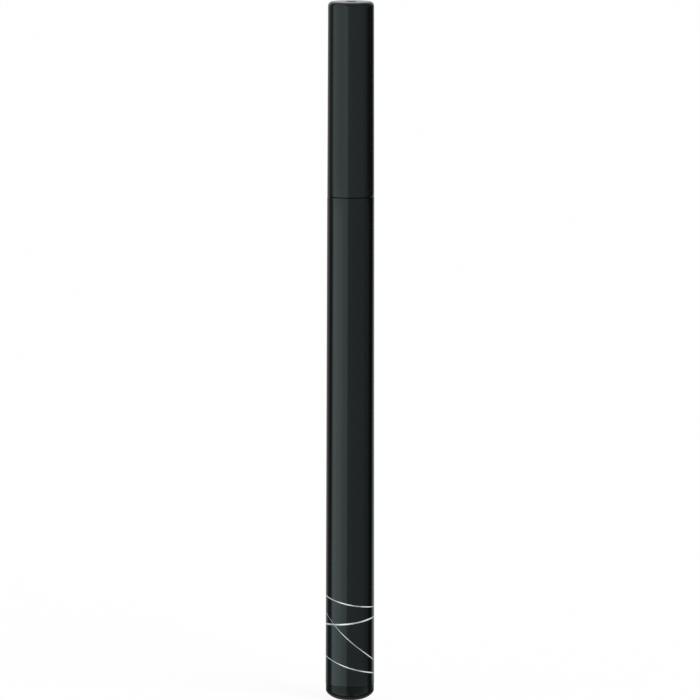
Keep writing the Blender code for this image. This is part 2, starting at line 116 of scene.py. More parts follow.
def barsTree():  # upright bars, evenly spaced round Z, joined to a moulding or cut out of it
    floats = [(name, "Float") for name in ("Inner", "Outer", "Width", "Bottom", "Top")]
    names = [("Geometry", "Geometry"), ("Count", "Int"), *floats, ("Cut", "Bool"), ("Material", "Material")]
    tree, start, end = newTree("bars round axis", names)
    reach = addNode(tree, "ShaderNodeMath", {0: start["Outer"], 1: start["Inner"]}, operation="SUBTRACT")
    tall = addNode(tree, "ShaderNodeMath", {0: start["Top"], 1: start["Bottom"]}, operation="SUBTRACT")
    size = addNode(tree, "ShaderNodeCombineXYZ", {0: reach, 1: start["Width"], 2: tall})
    halfReach = addNode(tree, "ShaderNodeMath", {0: reach, 1: 0.5}, operation="MULTIPLY")
    halfTall = addNode(tree, "ShaderNodeMath", {0: tall, 1: 0.5}, operation="MULTIPLY")
    x = addNode(tree, "ShaderNodeMath", {0: start["Inner"], 1: halfReach}, operation="ADD")
    z = addNode(tree, "ShaderNodeMath", {0: start["Bottom"], 1: halfTall}, operation="ADD")
    middle = addNode(tree, "ShaderNodeCombineXYZ", {0: x, 2: z})
    bar = addNode(tree, "GeometryNodeMeshCube", {"Size": size})
    placed = addNode(tree, "GeometryNodeTransform", {"Geometry": bar, "Translation": middle})
    points = addNode(tree, "GeometryNodePoints", {"Count": start["Count"]})
    index = addNode(tree, "GeometryNodeInputIndex")
    share = addNode(tree, "ShaderNodeMath", {0: index, 1: start["Count"]}, operation="DIVIDE")
    angle = addNode(tree, "ShaderNodeMath", {0: share, 1: math.tau}, operation="MULTIPLY")
    turn = addNode(tree, "ShaderNodeCombineXYZ", {2: angle})
    inputs = {"Points": points, "Instance": placed, "Rotation": turn}
    bars = addNode(tree, "GeometryNodeInstanceOnPoints", inputs)
    inputs = {1: start["Geometry"]}  # a union takes all its meshes on this one socket
    joined = addNode(tree, "GeometryNodeMeshBoolean", inputs, operation="UNION", solver="MANIFOLD")
    tree.links.new(bars.outputs[0], joined.inputs[1])
    inputs = {0: start["Geometry"], 1: bars}
    cut = addNode(tree, "GeometryNodeMeshBoolean", inputs, operation="DIFFERENCE", solver="MANIFOLD")
    inputs = {"Switch": start["Cut"], "False": joined, "True": cut}
    chosen = addNode(tree, "GeometryNodeSwitch", inputs, input_type="GEOMETRY")
    endTree(tree, chosen, start["Material"], end)
    return tree


def stripeTree():  # a thin ribbon that wanders round a slightly tapered tube
    course = ["Height", "Lean", "Lean At", "Bend", "Bend At"]
    band = ["Swell", "Width", "Thickness", "Radius", "Taper"]
    names = [("Segments", "Int"), *[(name, "Float") for name in course + band], ("Material", "Material")]
    tree, start, end = newTree("stripe round tube", names)
    ring = addNode(tree, "GeometryNodeCurvePrimitiveCircle", {"Resolution": start["Segments"], "Radius": 1.0})
    place = addNode(tree, "GeometryNodeInputPosition")
    flat = addNode(tree, "ShaderNodeSeparateXYZ", {0: place}).outputs
    back = addNode(tree, "ShaderNodeMath", {0: flat["Y"], 1: -1.0}, operation="MULTIPLY")
    steps = {socket.name: socket for socket in start}
    steps["azimuth"] = addNode(tree, "ShaderNodeMath", {0: flat["X"], 1: back}, operation="ARCTAN2")
    for result, operation, first, second in (
        ("from lean", "SUBTRACT", "azimuth", "Lean At"),
        ("lean share", "COSINE", "from lean", 0.0),
        ("lean rise", "MULTIPLY", "lean share", "Lean"),
        ("from bend", "SUBTRACT", "azimuth", "Bend At"),
        ("twice bend", "MULTIPLY", "from bend", 2.0),
        ("bend share", "COSINE", "twice bend", 0.0),
        ("bend rise", "MULTIPLY", "bend share", "Bend"),
        ("rise", "ADD", "lean rise", "bend rise"),
        ("z", "ADD", "rise", "Height"),
        ("narrowing", "MULTIPLY", "z", "Taper"),
        ("radius", "SUBTRACT", "Radius", "narrowing"),
        ("side", "SINE", "azimuth", 0.0),
        ("swelling", "MULTIPLY", "side", "Swell"),
        ("width share", "ADD", "swelling", 1.0),
    ):
        inputs = {0: steps.get(first, first), 1: steps.get(second, second)}
        steps[result] = addNode(tree, "ShaderNodeMath", inputs, operation=operation)
    scaled = addNode(tree, "ShaderNodeVectorMath", {0: place, "Scale": steps["radius"]}, operation="SCALE")
    lift = addNode(tree, "ShaderNodeCombineXYZ", {2: steps["z"]})
    raised = addNode(tree, "ShaderNodeVectorMath", {0: scaled, 1: lift}, operation="ADD")
    path = addNode(tree, "GeometryNodeSetPosition", {"Geometry": ring, "Position": raised})
    upright = addNode(tree, "GeometryNodeSetCurveNormal", {"Curve": path}, mode="Z_UP")
    inputs = {"Width": start["Thickness"], "Height": start["Width"]}
    section = addNode(tree, "GeometryNodeCurvePrimitiveQuadrilateral", inputs, mode="RECTANGLE")
    inputs = {"Curve": upright, "Profile Curve": section, "Scale": steps["width share"]}
    ribbon = addNode(tree, "GeometryNodeCurveToMesh", inputs)
    endTree(tree, ribbon, start["Material"], end)
    return tree


def pointAlong(point, direction, length):
    return (point[0] + direction[0] * length, point[1] + direction[1] * length)


def roundCorners(corners, closed=False):
    # corners are (radius, height, rounding); a rounded one becomes an arc with a guard point close to either
    # end, so that the long glossy faces beside it shade straight
    points = []
    last = len(corners) - 1
    for index, (radius, height, rounding) in enumerate(corners):
        corner = (radius, height)
        inside = closed or 0 < index < last
        if rounding <= 0 or not inside:
            points.append(corner)
            continue
        others = (corners[index - 1], corners[(index + 1) % len(corners)])
        rooms = [math.hypot(other[0] - radius, other[1] - height) for other in others]
        sides = [((o[0] - radius) / room, (o[1] - height) / room) for o, room in zip(others, rooms)]
        cosine = sides[0][0] * sides[1][0] + sides[0][1] * sides[1][1]
        opening = math.acos(max(-1.0, min(1.0, cosine)))
        setback = rounding / math.tan(opening / 2)
        middle = (sides[0][0] + sides[1][0], sides[0][1] + sides[1][1])
        centre = pointAlong(corner, middle, rounding / math.sin(opening / 2) / math.hypot(*middle))
        ends = [pointAlong(corner, side, setback) for side in sides]
        first, final = [math.atan2(end[1] - centre[1], end[0] - centre[0]) for end in ends]
        sweep = (final - first + math.pi) % math.tau - math.pi
        steps = max(2, round(abs(sweep) / arcStep))
        angles = [first + sweep * step / steps for step in range(steps + 1)]
        guard = setback + guardShare * rounding
        if guard < guardRoom * rooms[0]:
            points.append(pointAlong(corner, sides[0], guard))
        points += [(centre[0] + rounding * math.cos(a), centre[1] + rounding * math.sin(a)) for a in angles]
        if guard < guardRoom * rooms[1]:
            points.append(pointAlong(corner, sides[1], guard))
    if closed:
        points.append(points[0])
    return points


def bead(radius, rise, height, at, steps=10):  # a low rounded ring on a wall, or a groove, from below up
    heights = [at - height / 2 + height * step / steps for step in range(steps + 1)]
    rises = [rise * math.sin(math.pi * step / steps) ** beadPower for step in range(steps + 1)]
    return [(radius + out, up, 0) for out, up in zip(rises, heights)]


def quarterArc(centre, radius, steps):  # from straight out to straight up
    angles = [math.radians(90 * step / steps) for step in range(steps + 1)]
    return [(centre[0] + radius * math.cos(a), centre[1] + radius * math.sin(a), 0) for a in angles]


def domePoints(foot, side, height, power, steps):  # from the flat foot out and up to the side
    angles = [math.pi / 2 * (1 - step / steps) for step in range(steps + 1)]
    outward = [max(0.0, math.cos(a)) ** power for a in angles]
    upward = [1 - math.sin(a) ** power for a in angles]
    return [(foot + (side - foot) * out, height * up, 0) for out, up in zip(outward, upward)]


def runTrees(piece, jobs):
    for tree, sizes in jobs:
        modifier = piece.modifiers.new(tree.name, "NODES")
        modifier.node_group = tree
        for socket in tree.interface.items_tree:
            if socket.in_out == "INPUT" and socket.name in sizes:
                modifier[socket.identifier] = sizes[socket.name]
    graph = bpy.context.evaluated_depsgraph_get()
    result = piece.evaluated_get(graph)
    plain = bpy.data.meshes.new_from_object(result, preserve_all_data_layers=True, depsgraph=graph)
    rough = piece.data
    piece.modifiers.clear()
    piece.data = plain
    bpy.data.meshes.remove(rough)
    plain.name = piece.name


def addObject(name, data):
    item = bpy.data.objects.new(name, data)
    bpy.context.scene.collection.objects.link(item)
    return item


def startPiece(name, points=()):
    mesh = bpy.data.meshes.new(name + " outline")
    edges = [(i, i + 1) for i in range(len(points) - 1)]
    mesh.from_pydata([(radius * mm, 0, height * mm) for radius, height in points], edges, [])
    return addObject(name, mesh)


def turnPiece(name, corners, closed, segments, material, *rowsOfBars):
    piece = startPiece(name, roundCorners(corners, closed))
    jobs = [(trees["turn"], {"Segments": segments, "Material": material})]
    for bars in rowsOfBars:
        sizes = {key: value * mm if isinstance(value, float) else value for key, value in bars.items()}
        jobs.append((trees["bars"], {**sizes, "Material": material}))
    runTrees(piece, jobs)
    return piece


def carry(piece, body, slot, *nodes):
    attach(piece, body)
    if nodes:
        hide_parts(*nodes)
    print("piece:", piece.name, len(piece.data.polygons), "faces")


trees = {"turn": turningTree(), "bars": barsTree(), "stripe": stripeTree()}
print("node trees built")


# Materials

noiseLow, noiseHigh = 0.3, 0.7  # between which nearly all of a noise pattern lies


def emptyMaterial(name):
    material = bpy.data.materials.new(name)
    material.use_nodes = True
    material.node_tree.nodes.clear()
    return material, material.node_tree


def startMaterial(name, sockets):
    material, tree = emptyMaterial(name)
    shader = addNode(tree, "ShaderNodeBsdfPrincipled", sockets)
    addNode(tree, "ShaderNodeOutputMaterial", {"Surface": shader})
    return material, tree, shader, addNode(tree, "ShaderNodeTexCoord").outputs["Object"]


def finishSurface(tree, shader, look, tone, gloss, relief, depth):
    # one pattern takes the colour from dark to light, one sets the roughness, and one gives the relief
    inputs = {0: tone, 6: linear(look["dark"]), 7: linear(look["light"])}
    colour = addNode(tree, "ShaderNodeMix", inputs, data_type="RGBA")
    tree.links.new(colour.outputs[2], shader.inputs["Base Color"])
    low, high = look["roughness"]
    satin = addNode(tree, "ShaderNodeMapRange", {0: gloss, 1: noiseLow, 2: noiseHigh, 3: low, 4: high})
    tree.links.new(satin.outputs[0], shader.inputs["Roughness"])
    bump = addNode(tree, "ShaderNodeBump", {"Height": relief, "Distance": depth})
    tree.links.new(bump.outputs[0], shader.inputs["Normal"])
    return satin, bump


def mouldedBlackPlastic(name, look):
    # Polypropylene moulded in a polished cavity: a deep, slightly cool black under one clear highlight, which
    # wanders a little with the flow of the melt and is broken by fine handling marks along the pen
    material, tree, shader, place = startMaterial(name, {"IOR": look["ior"]})
    flow, peel, grain = [
        addNode(tree, "ShaderNodeTexNoise", {"Vector": place, "Scale": 1 / look[size], "Detail": detail})
        for size, detail in (("flowSize", 2.0), ("peelSize", 1.0), ("grainSize", 3.0))
    ]
    satin, wave = finishSurface(tree, shader, look, flow, grain, peel, look["peelDepth"])
    along = addNode(tree, "ShaderNodeMapping", {"Vector": place, "Scale": (1, 1, look["hairlineStretch"])})
    inputs = {"Vector": along, "Scale": 1 / look["hairlineSize"], "Detail": 2.0}
    hair = addNode(tree, "ShaderNodeTexNoise", inputs)
    faint, full = look["hairlineSpan"]
    hairline = addNode(tree, "ShaderNodeMapRange", {0: hair, 1: faint, 2: full, 3: 0.0, 4: 1.0})
    inputs = {0: hairline, 1: look["hairlineRoughness"], 2: satin}  # hairlines lie over the other finish
    roughness = addNode(tree, "ShaderNodeMath", inputs, operation="MULTIPLY_ADD")
    tree.links.new(roughness.outputs[0], shader.inputs["Roughness"])
    inputs = {"Height": hairline, "Distance": look["hairlineDepth"], "Normal": wave}
    scratch = addNode(tree, "ShaderNodeBump", inputs, invert=True)
    tree.links.new(scratch.outputs[0], shader.inputs["Normal"])
    return material


glossLook = {
    "ior": 1.5,
    "dark": "#070909",
    "light": "#0a0c0c",
    "roughness": (0.13, 0.16),
    "flowSize": 11 * mm,  # broad mottling of the colour
    "peelSize": 2.6 * mm,  # gentle waviness of the polished wall
    "peelDepth": 0.0016 * mm,
    "grainSize": 0.35 * mm,
    "hairlineSize": 0.16 * mm,  # drawn coarser than real hairlines, which are too fine to show
    "hairlineStretch": 0.04,
    "hairlineSpan": (0.60, 0.74),  # where in the noise a hairline starts, and is at its full depth
    "hairlineDepth": 0.0004 * mm,
    "hairlineRoughness": 0.05,
}
capLook = {**glossLook, "dark": "#0c0e0e", "light": "#0f1111", "roughness": (0.14, 0.17)}
plugLook = {**glossLook, "ior": 1.33, "roughness": (0.2, 0.24)}
plugLook.update({"peelDepth": 0.003 * mm, "hairlineRoughness": 0.08})
materials = {
    "barrel": mouldedBlackPlastic("gloss moulded black polypropylene, barrel", glossLook),
    "cap": mouldedBlackPlastic("gloss moulded black polypropylene, cap", capLook),
    "plug": mouldedBlackPlastic("moulded black polypropylene, end plug", plugLook),
}


def sparkErodedBlackPlastic(name, look):
    # Polypropylene moulded in a spark-eroded cavity: an even satin, with no clear highlight
    material, tree, shader, place = startMaterial(name, {"IOR": 1.49})
    inputs = {"Vector": place, "Scale": 1 / look["pitSize"]}
    pits = addNode(tree, "ShaderNodeTexVoronoi", inputs, feature="SMOOTH_F1")
    inputs = {"Vector": place, "Scale": 1 / look["cloudSize"], "Detail": 2.0}
    cloud = addNode(tree, "ShaderNodeTexNoise", inputs)
    finishSurface(tree, shader, look, cloud, cloud, pits, look["pitDepth"])
    return material


materials["section"] = sparkErodedBlackPlastic(
    "spark-eroded moulded black polypropylene, nib holder",
    {
        "dark": "#0f1011",
        "light": "#15171a",
        "roughness": (0.36, 0.44),
        "pitSize": 0.11 * mm,
        "pitDepth": 0.006 * mm,
        "cloudSize": 1.8 * mm,
    },
)


def milkyPolyethylene(name, look):
    # Natural low-density polyethylene: soft and waxy, and light goes a little way into it
    sockets = {"IOR": 1.51, "Subsurface Weight": 0.6, "Subsurface Radius": (1.0, 0.95, 0.85)}
    sockets["Subsurface Scale"] = look["scatter"]
    material, tree, shader, place = startMaterial(name, sockets)
    haze, frost = [
        addNode(tree, "ShaderNodeTexNoise", {"Vector": place, "Scale": 1 / look[size], "Detail": 2.0})
        for size in ("hazeSize", "frostSize")
    ]
    finishSurface(tree, shader, look, haze, frost, frost, look["frostDepth"])
    return material


materials["innerCap"] = milkyPolyethylene(
    "moulded natural polyethylene, sealing cup",
    {
        "dark": "#dcdfdb",
        "light": "#e6e8e4",
        "roughness": (0.38, 0.48),
        "scatter": 1.2 * mm,
        "hazeSize": 2.4 * mm,
        "frostSize": 0.12 * mm,
        "frostDepth": 0.004 * mm,
    },
)


def bondedFibre(name, look):
    # Crimped polyester fibres laid lengthwise and bonded: fine streaks along the pen, with no gloss of their
    # own, and the sheen of a coat of ink where they are wet
    sockets = {"IOR": 1.5, "Coat Weight": look["wetness"], "Coat Roughness": 0.22}
    material, tree, shader, place = startMaterial(name, sockets)
    along = addNode(tree, "ShaderNodeMapping", {"Vector": place, "Scale": (1, 1, look["stretch"])})
    inputs = {"Vector": along, "Scale": 1 / look["fibreSize"], "Detail": 3.0, "Roughness": 0.6}
    fibre = addNode(tree, "ShaderNodeTexNoise", inputs)
    dull, bright = look["streakSpan"]
    streak = addNode(tree, "ShaderNodeMapRange", {0: fibre, 1: dull, 2: bright, 3: 0.0, 4: 1.0})
    finishSurface(tree, shader, look, streak, fibre, fibre, look["depth"])
    return material


nibLook = {
    "dark": "#08080a",
    "light": "#222327",
    "roughness": (0.45, 0.65),
    "fibreSize": 0.06 * mm,
    "stretch": 0.05,
    "streakSpan": (0.35, 0.68),  # where in the noise a fibre is darkest and lightest
    "depth": 0.02 * mm,
    "wetness": 0.35,
}
materials["nib"] = bondedFibre("ground bonded polyester fibre, nib wet with ink", nibLook)
reservoirLook = {**nibLook, "dark": "#1a1a1c", "light": "#46464b", "roughness": (0.8, 0.95), "wetness": 0.0}
materials["reservoir"] = bondedFibre("bonded polyester fibre, inked reservoir", reservoirLook)


def clearFilm(name, look):
    # Wound polypropylene film: clear, with a soft sheen and faint creases along it
    material, tree, shader, place = startMaterial(name, {"IOR": 1.49, "Transmission Weight": 0.92})
    along = addNode(tree, "ShaderNodeMapping", {"Vector": place, "Scale": (1, 1, look["stretch"])})
    inputs = {"Vector": along, "Scale": 1 / look["creaseSize"], "Detail": 2.0}
    crease = addNode(tree, "ShaderNodeTexNoise", inputs)
    finishSurface(tree, shader, look, crease, crease, crease, look["creaseDepth"])
    return material


materials["film"] = clearFilm(
    "wound clear polypropylene film, reservoir sleeve",
    {
        "dark": "#e4e8ea",
        "light": "#f2f5f6",
        "roughness": (0.07, 0.16),
        "creaseSize": 0.9 * mm,
        "stretch": 0.12,
        "creaseDepth": 0.01 * mm,
    },
)


def silverFoil(name, look):
    # Matt silver foil, hot-stamped on the gloss: bright from all round, because its fine grain scatters, and
    # whiter in even bands round the pen: painted highlights set by azimuth, broken up by real patchy wear
    material, tree, shader, place = startMaterial(name, {"Metallic": look["metallic"]})
    grain, worn = [
        addNode(tree, "ShaderNodeTexNoise", {"Vector": place, "Scale": 1 / look[size], "Detail": 3.0})
        for size in ("grainSize", "wearSize")
    ]
    # the azimuth round the pen places the painted highlight bands in the foil's colour
    flat = addNode(tree, "ShaderNodeSeparateXYZ", {0: place}).outputs
    azimuth = addNode(tree, "ShaderNodeMath", {0: flat["X"], 1: flat["Y"]}, operation="ARCTAN2")
    inputs = {0: azimuth, 1: look["glintBands"], 2: look["glintBandsAt"]}
    phase = addNode(tree, "ShaderNodeMath", inputs, operation="MULTIPLY_ADD")
    band = addNode(tree, "ShaderNodeMath", {0: phase}, operation="COSINE")
    even = addNode(tree, "ShaderNodeMath", {0: worn, 1: look["wear"]}, operation="MULTIPLY")
    halfBand = 0.5  # a cosine spans 2, and the bands are to span 1
    inputs = {0: band, 1: halfBand, 2: even}
    mixed = addNode(tree, "ShaderNodeMath", inputs, operation="MULTIPLY_ADD")
    middle = look["wear"] / 2
    # painted highlight bands mixed with real patchy wear, as a share from the dark shade to the light one
    glintsAndWear = addNode(tree, "ShaderNodeMapRange", {0: mixed, 1: middle - halfBand, 2: middle + halfBand})
    finishSurface(tree, shader, look, glintsAndWear, grain, grain, look["grainDepth"])
    return material


materials["foil"] = silverFoil(
    "hot-stamped matt silver foil, stripes",
    {
        "dark": "#b4b6ba",
        "light": "#fbfbfe",
        "metallic": 0.35,
        "glintBands": 6.0,  # painted highlights: brighter stretches in one turn round the pen
        "glintBandsAt": math.radians(-78),  # turns the painted highlights so that one faces a little left of the front
        "wear": 0.3,
        "roughness": (0.42, 0.56),
        "grainSize": 0.05 * mm,
        "grainDepth": 0.003 * mm,
        "wearSize": 1.3 * mm,
    },
)
print("materials built")


# Barrel: outline from the middle of the bore down, round the rear end, up the outside and in at the mouth
barrel = {
    "frontRadius": 4.595,
    "rearRadius": 4.760,
    "rear": 3.10,
    "front": 98.985,
    "bore": 3.75,
    "boreMiddle": 45.0,
    "socket": 3.50,
    "socketEnd": 87.015,
    "socketStep": 0.25,
    "edge": 0.10,
    "rearEdge": 0.05,
    "ribGap": 1.5,  # from the ribs' upper ends to the socket
}
front = barrel["front"]  # heights of what stands in or on the barrel's mouth are counted from it
corners = [
    (barrel["bore"], barrel["boreMiddle"], 0),
    (barrel["bore"], barrel["rear"], barrel["edge"]),
    (barrel["rearRadius"], barrel["rear"], barrel["rearEdge"]),
    (barrel["frontRadius"], front, barrel["edge"]),
    (barrel["socket"], front, barrel["edge"]),
    (barrel["socket"], barrel["socketEnd"], barrel["edge"]),
    (barrel["bore"], barrel["socketEnd"] - barrel["socketStep"], barrel["edge"]),
]
ribs = {"Count": 6, "Inner": 2.88, "Outer": 4.15, "Width": 0.6, "Bottom": 13.57}
ribs["Top"] = barrel["socketEnd"] - barrel["ribGap"]
piece = turnPiece("barrel_tube", corners, True, shellSegments, materials["barrel"], ribs)
carry(piece, "pen", "barrel_gloss_black", "barrel")

# Rear plug: a flat foot, a shallow dome, a hollow beaded spigot and crossed fins behind the reservoir
plug = {
    "foot": 1.85,
    "footGuard": 0.5,  # a point this far inside the foot's rim keeps the foot's shading flat
    "side": 4.71,
    "domeHeight": 1.8,
    "domePower": 1.25,
    "domeSteps": 28,
    "headTop": 3.07,
    "edge": 0.05,
    "spigotRoot": 0.06,
    "floor": 1.2,
    "floorFillet": 0.3,
    "spigot": 3.70,
    "spigotTop": 12.07,
    "spigotWall": 0.8,
    "leadIn": 0.35,
    "hollowEdge": 0.15,
    "beads": (6.07, 9.07),
    "beadRise": 0.02,
    "beadHeight": 0.8,
}
corners = [(0, 0, 0), (plug["foot"] - plug["footGuard"], 0, 0)]
corners += domePoints(plug["foot"], plug["side"], plug["domeHeight"], plug["domePower"], plug["domeSteps"])
corners += [(plug["side"], plug["headTop"], plug["edge"])]
corners += [(plug["spigot"], plug["headTop"], plug["spigotRoot"])]
for at in plug["beads"]:
    corners += bead(plug["spigot"], plug["beadRise"], plug["beadHeight"], at)
corners += [(plug["spigot"], plug["spigotTop"], plug["leadIn"])]
hollow = plug["spigot"] - plug["spigotWall"]
corners += [(hollow, plug["spigotTop"], plug["hollowEdge"]), (hollow, plug["floor"], plug["floorFillet"])]
corners += [(0, plug["floor"], 0)]
fins = {"Count": 4, "Inner": -0.4, "Outer": 2.5, "Width": 0.8, "Bottom": 0.6, "Top": 28.83}
piece = turnPiece("end_plug", corners, False, shellSegments, materials["plug"], fins)
carry(piece, "pen", "plug_gloss_black", "rear_plug")

# Nib holder: outline from the middle of its bore down, round the guide tube and the spigot, up the neck, the
# sealing land and the cone, and back in at the nose
holder = {
    "noseRadius": 1.30,
    "noseEnd": front + 21.33,
    "noseRound": 0.2,
    "noseSteps": 7,
    "noseBore": 0.85,
    "noseBoreEdge": 0.06,
    "boreMiddle": front + 13.0,
    "coneBase": front + 15.83,
    "coneGuard": 0.02,
    "coneSwell": 0.33,
    "coneSteps": 16,
    "land": 2.84,
    "landStart": front + 11.83,
    "landFillet": 0.35,
    "neck": 3.77,
    "neckTop": front + 9.83,
    "neckTopEdge": 0.25,
    "neckBase": front + 0.03,
    "neckBaseEdge": 0.06,
    "neckRoot": 0.04,
    "beadAt": front + 3.33,
    "beadRise": 0.05,
    "beadSteps": 12,
    "spigot": 3.45,
    "spigotEnd": front - 11.17,
    "spigotEdge": 0.3,
    "cavity": 2.95,
    "cavityEdge": 0.15,
    "cavityEnd": front + 9.03,
    "cavityFillet": 0.2,
    "tube": 1.50,
    "tubeBase": front + 4.23,
    "tubeBoreEdge": 0.08,
    "tubeEdge": 0.12,
    "rings": (front - 7.44, front - 3.70),
    "ringRise": 0.02,
    "ringHeight": 0.8,
    "webSink": 0.4,  # how far the webs go into the end of the cavity
    "ventOverrun": 0.5,  # how far the cut goes past the bore's ends
}
corners = [
    (holder["noseBore"], holder["boreMiddle"], 0),
    (holder["noseBore"], holder["tubeBase"], holder["tubeBoreEdge"]),
    (holder["tube"], holder["tubeBase"], holder["tubeEdge"]),
    (holder["tube"], holder["cavityEnd"], holder["cavityFillet"]),
    (holder["cavity"], holder["cavityEnd"], holder["cavityFillet"]),
    (holder["cavity"], holder["spigotEnd"], holder["cavityEdge"]),
    (holder["spigot"], holder["spigotEnd"], holder["spigotEdge"]),
]
for at in holder["rings"]:
    corners += bead(holder["spigot"], holder["ringRise"], holder["ringHeight"], at)
corners += [(holder["spigot"], holder["neckBase"], holder["neckRoot"])]
corners += [(holder["neck"], holder["neckBase"], holder["neckBaseEdge"])]
snap = bead(holder["neck"], holder["beadRise"], holder["ringHeight"], holder["beadAt"], holder["beadSteps"])
corners += snap
corners += [(holder["neck"], holder["neckTop"], holder["neckTopEdge"])]
corners += [(holder["land"], holder["landStart"], holder["landFillet"])]
corners += [(holder["land"], holder["coneBase"] - holder["coneGuard"], 0)]
for step in range(1, holder["coneSteps"]):
    share = step / holder["coneSteps"]
    swell = holder["coneSwell"] * math.sin(math.pi * share)
    radius = holder["land"] + (holder["noseRadius"] - holder["land"]) * share + swell
    height = holder["coneBase"] + (holder["noseEnd"] - holder["noseRound"] - holder["coneBase"]) * share
    corners.append((radius, height, 0))
centre = (holder["noseRadius"] - holder["noseRound"], holder["noseEnd"] - holder["noseRound"])
corners += quarterArc(centre, holder["noseRound"], holder["noseSteps"])
corners += [(holder["noseBore"], holder["noseEnd"], holder["noseBoreEdge"])]
webs = {"Count": 3, "Inner": 1.2, "Outer": 3.2, "Width": 0.6, "Bottom": holder["tubeBase"]}
webs["Top"] = holder["cavityEnd"] + holder["webSink"]
vents = {"Count": 3, "Inner": 0.4, "Outer": 1.1, "Width": 0.5, "Cut": True}
vents["Bottom"] = holder["tubeBase"] - holder["ventOverrun"]
vents["Top"] = holder["noseEnd"] + holder["ventOverrun"]
piece = turnPiece("nib_holder", corners, True, innerSegments, materials["section"], webs, vents)
carry(piece, "pen", "section_satin_black", "front_section")

# Nib: ground to a long fine taper in front, and blunt-pointed at the rear to enter the reservoir
nib = {
    "radius": 0.80,
    "tipRadius": 0.12,
    "tipSteps": 6,
    "tip": front + 27.83,
    "taper": 5.8,
    "taperPower": 0.86,
    "taperSteps": 18,
    "rear": front - 3.07,
    "rearRadius": 0.80 / 3,
    "rearEdge": 0.05,
    "rearPoint": 0.9,
    "shoulder": 0.12,
}
corners = [(0, nib["rear"], 0), (nib["rearRadius"], nib["rear"], nib["rearEdge"])]
corners += [(nib["radius"], nib["rear"] + nib["rearPoint"], nib["shoulder"])]
for step in range(nib["taperSteps"]):
    share = 1 - step / nib["taperSteps"]
    radius = nib["tipRadius"] + (nib["radius"] - nib["tipRadius"]) * share ** nib["taperPower"]
    corners.append((radius, nib["tip"] - nib["tipRadius"] - (nib["taper"] - nib["tipRadius"]) * share, 0))
corners += quarterArc((0, nib["tip"] - nib["tipRadius"]), nib["tipRadius"], nib["tipSteps"])
piece = turnPiece("fibre_nib", corners, False, innerSegments, materials["nib"])
carry(piece, "pen", "nib_inked_fibre", "nib")

# Reservoir: a fibre rod with the hole that the nib's rear end makes, in a film sleeve
rod = {
    "radius": 2.60,
    "base": 29.13,
    "front": front + 3.93,
    "edge": 0.3,
    "hole": 0.86,
    "holeEdge": 0.08,
    "holeEnd": front - 3.13,
    "holePoint": 0.9,
    "holeEndRadius": 0.43,
}
corners = [(0, rod["base"], 0), (rod["radius"], rod["base"], rod["edge"])]
corners += [(rod["radius"], rod["front"], rod["edge"]), (rod["hole"], rod["front"], rod["holeEdge"])]
corners += [(rod["hole"], rod["holeEnd"] + rod["holePoint"], 0), (rod["holeEndRadius"], rod["holeEnd"], 0)]
corners += [(0, rod["holeEnd"], 0)]
piece = turnPiece("ink_rod", corners, False, innerSegments, materials["reservoir"])
carry(piece, "pen", "reservoir_fibre", "reservoir_core")

sleeve = {"outer": 2.78, "inner": 2.66, "middle": 60.0, "setBack": 0.5}  # set back from both ends of the rod
base, end = rod["base"] + sleeve["setBack"], rod["front"] - sleeve["setBack"]
corners = [(sleeve["inner"], sleeve["middle"], 0), (sleeve["inner"], base, 0), (sleeve["outer"], base, 0)]
corners += [(sleeve["outer"], end, 0), (sleeve["inner"], end, 0)]
piece = turnPiece("ink_rod_sleeve", corners, True, innerSegments, materials["film"])
carry(piece, "pen", "reservoir_film", "reservoir_wrap")

# Inner cap: a soft cup with a sealing bead at its mouth and a hollow stem that bears on the outer cap
cup = {
    "outer": 3.50,
    "bore": 3.00,
    "mouth": front + 12.33,
    "mouthEdge": 0.16,
    "leadIn": 0.25,
    "beadRise": 0.08,
    "beadHeight": 0.8,
    "ceiling": front + 33.33,
    "ceilingFillet": 0.4,
    "top": front + 34.03,
    "corner": 0.5,
    "stem": 1.50,
    "stemRoot": 0.15,
    "stemEdge": 0.2,
    "stemEnd": front + 36.785,
    "stemBore": 0.90,
    "stemBoreEdge": 0.1,
    "bandAt": front + 23.18,
    "bandRise": 0.02,
    "bandHeight": 0.9,
}
corners = [(0, cup["ceiling"], 0), (cup["bore"], cup["ceiling"], cup["ceilingFillet"])]
beadAt = cup["mouth"] + cup["leadIn"] + cup["beadHeight"] / 2
corners += reversed(bead(cup["bore"], -cup["beadRise"], cup["beadHeight"], beadAt))
corners += [(cup["bore"], cup["mouth"], cup["mouthEdge"]), (cup["outer"], cup["mouth"], cup["mouthEdge"])]
corners += bead(cup["outer"], cup["bandRise"], cup["bandHeight"], cup["bandAt"])
corners += [(cup["outer"], cup["top"], cup["corner"]), (cup["stem"], cup["top"], cup["stemRoot"])]
corners += [(cup["stem"], cup["stemEnd"], cup["stemEdge"])]
corners += [(cup["stemBore"], cup["stemEnd"], cup["stemBoreEdge"])]
corners += [(cup["stemBore"], cup["top"], cup["stemRoot"]), (0, cup["top"], 0)]
piece = turnPiece("sealing_cup", corners, False, innerSegments, materials["innerCap"])
carry(piece, "cap", "inner_cap_milky_white", "inner_cap")

